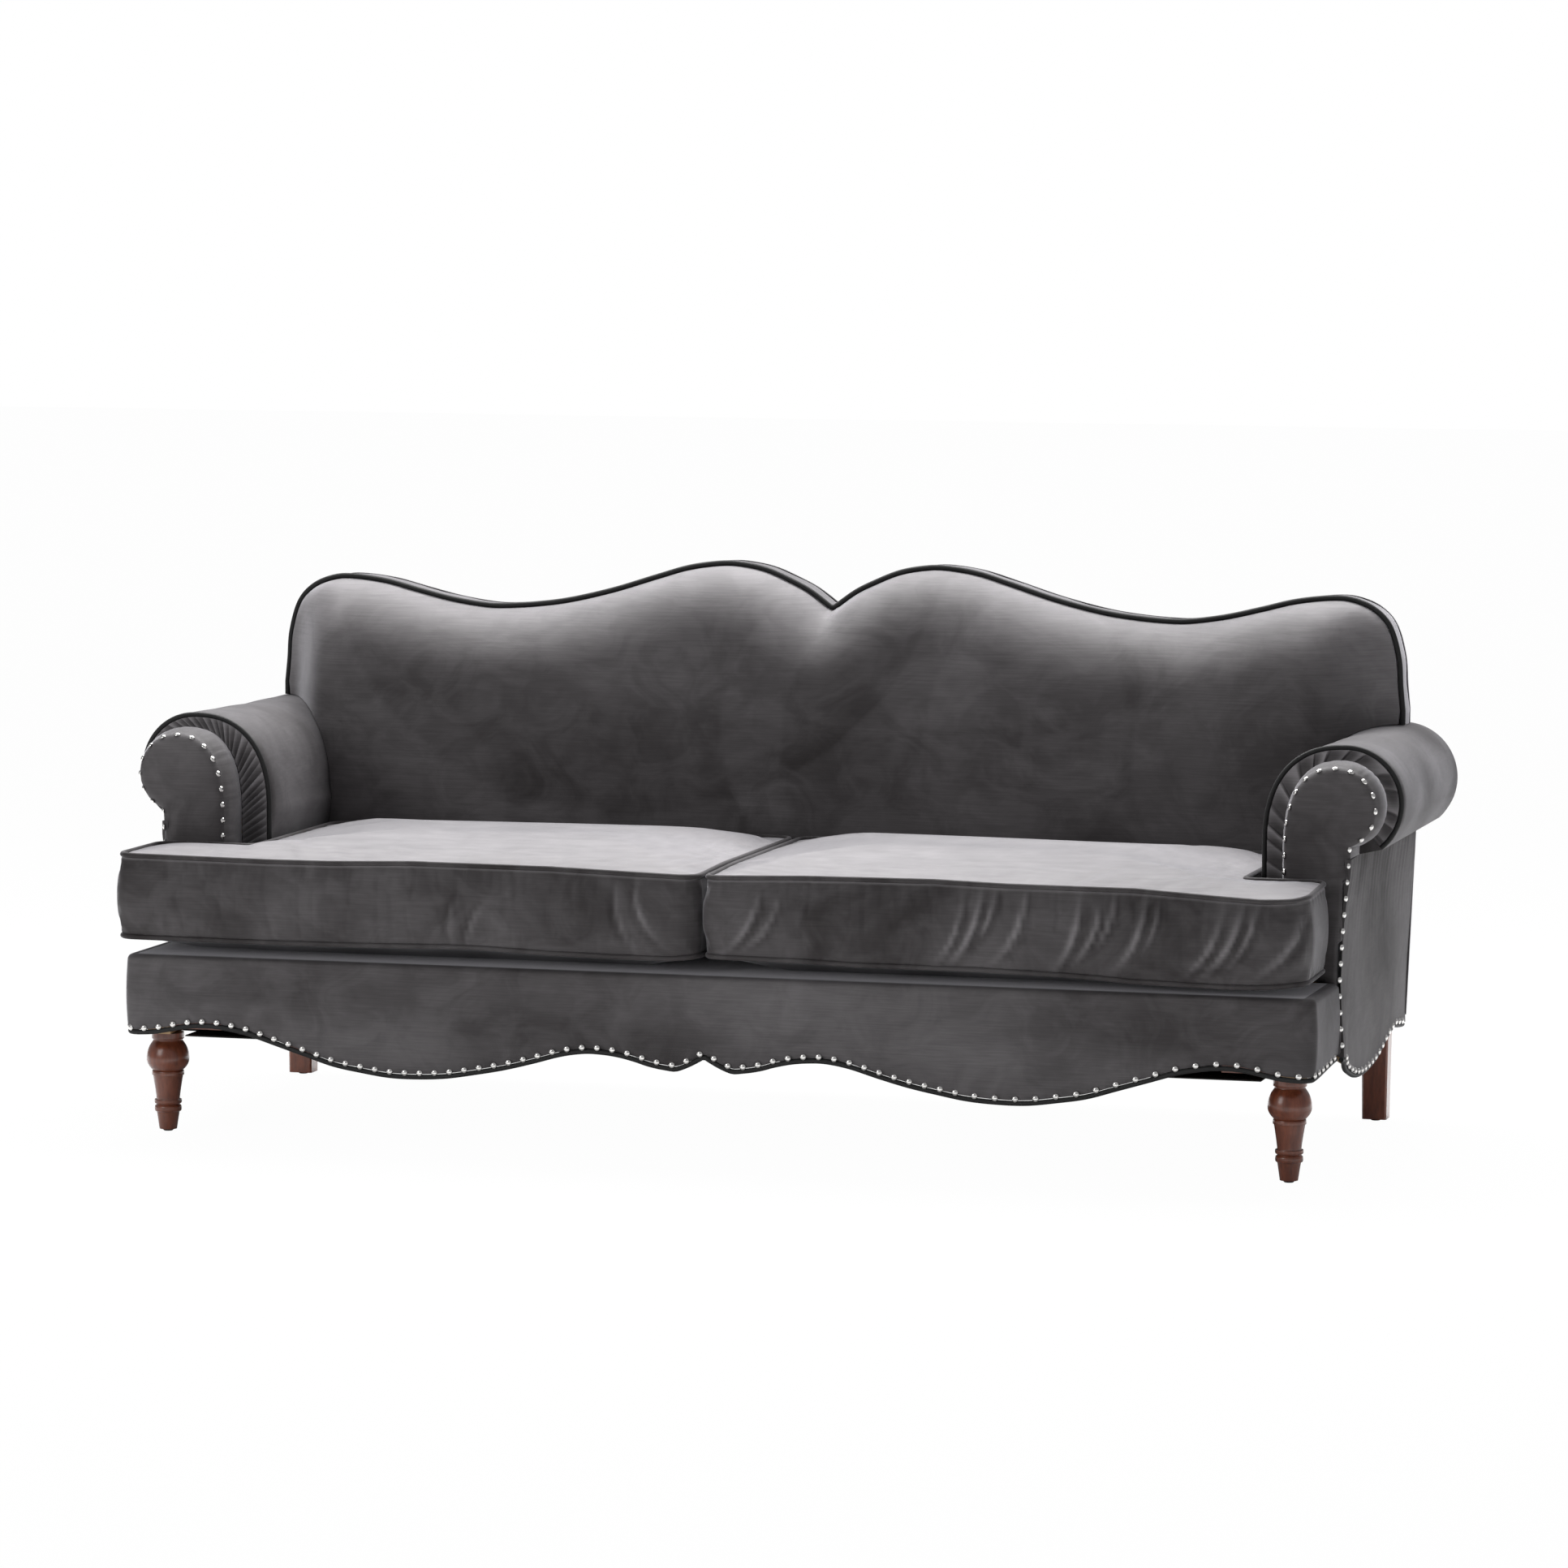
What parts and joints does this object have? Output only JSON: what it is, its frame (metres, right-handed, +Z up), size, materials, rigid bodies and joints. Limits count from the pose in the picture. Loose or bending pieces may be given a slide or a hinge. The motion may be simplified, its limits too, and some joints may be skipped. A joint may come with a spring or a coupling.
{
  "type": "camelback sofa",
  "caption": "Camelback sofa with scroll arms, loose T-shaped seat cushions, a scalloped front edge and turned front legs, upholstered in grey velvet.",
  "frame": {"origin": "on the floor, under the middle of the sofa's overall box", "axes": "+X along the sofa, to the right seen from the front; +Y from the front to the back; +Z up"},
  "size_m": [2.1706, 0.885, 0.9269],
  "materials": {
    "velvet": "matte",
    "welt_velvet": "matte",
    "stained_wood": "satin",
    "frame_timber": "matte",
    "webbing": "matte",
    "lining": "matte",
    "glide": "matte",
    "bolt_steel": "satin",
    "nail_chrome": "polished"
  },
  "bodies": {
    "root": {"front_rail": "frame_timber", "rear_rail": "frame_timber", "left_side_rail": "frame_timber", "right_side_rail": "frame_timber", "left_centre_rail": "frame_timber", "right_centre_rail": "frame_timber", "left_front_corner_block": "frame_timber", "right_front_corner_block": "frame_timber", "left_rear_corner_block": "frame_timber", "right_rear_corner_block": "frame_timber", "left_arm_front_post": "frame_timber", "right_arm_front_post": "frame_timber", "left_arm_rail": "frame_timber", "right_arm_rail": "frame_timber", "left_arm_base_rail": "frame_timber", "right_arm_base_rail": "frame_timber", "left_back_post": "frame_timber", "right_back_post": "frame_timber", "back_top_rail": "frame_timber", "back_lower_rail": "frame_timber", "back_centre_post": "frame_timber", "seat_webbing": "webbing", "back_webbing": "webbing", "seat_deck": "velvet", "inside_back_pad": "velvet", "front_border": "velvet", "left_arm_pad": "velvet", "right_arm_pad": "velvet", "left_arm_facing": "velvet", "right_arm_facing": "velvet", "left_arm_pleat_band": "velvet", "right_arm_pleat_band": "velvet", "left_outside_arm_panel": "velvet", "right_outside_arm_panel": "velvet", "outside_back_panel": "velvet", "back_border": "velvet", "left_arm_roll_welt": "welt_velvet", "right_arm_roll_welt": "welt_velvet", "back_welt": "welt_velvet", "front_border_welt": "welt_velvet", "left_side_welt": "welt_velvet", "right_side_welt": "welt_velvet", "dust_cover": "lining", "left_front_leg": "stained_wood", "right_front_leg": "stained_wood", "left_rear_leg": "stained_wood", "right_rear_leg": "stained_wood", "left_front_glide": "glide", "right_front_glide": "glide", "left_rear_glide": "glide", "right_rear_glide": "glide", "left_front_hanger_bolt": "bolt_steel", "right_front_hanger_bolt": "bolt_steel", "left_rear_hanger_bolt": "bolt_steel", "right_rear_hanger_bolt": "bolt_steel"},
    "cushion_left": {"left_seat_cushion": "velvet"},
    "cushion_right": {"right_seat_cushion": "velvet"}
  },
  "joints": [
    {"name": "cushion_left_lift", "type": "slide", "parent": "root", "child": "cushion_left", "axis": [0, 0, 1], "range_m": [0, 0.28]},
    {"name": "cushion_right_lift", "type": "slide", "parent": "root", "child": "cushion_right", "axis": [0, 0, 1], "range_m": [0, 0.28]}
  ]
}
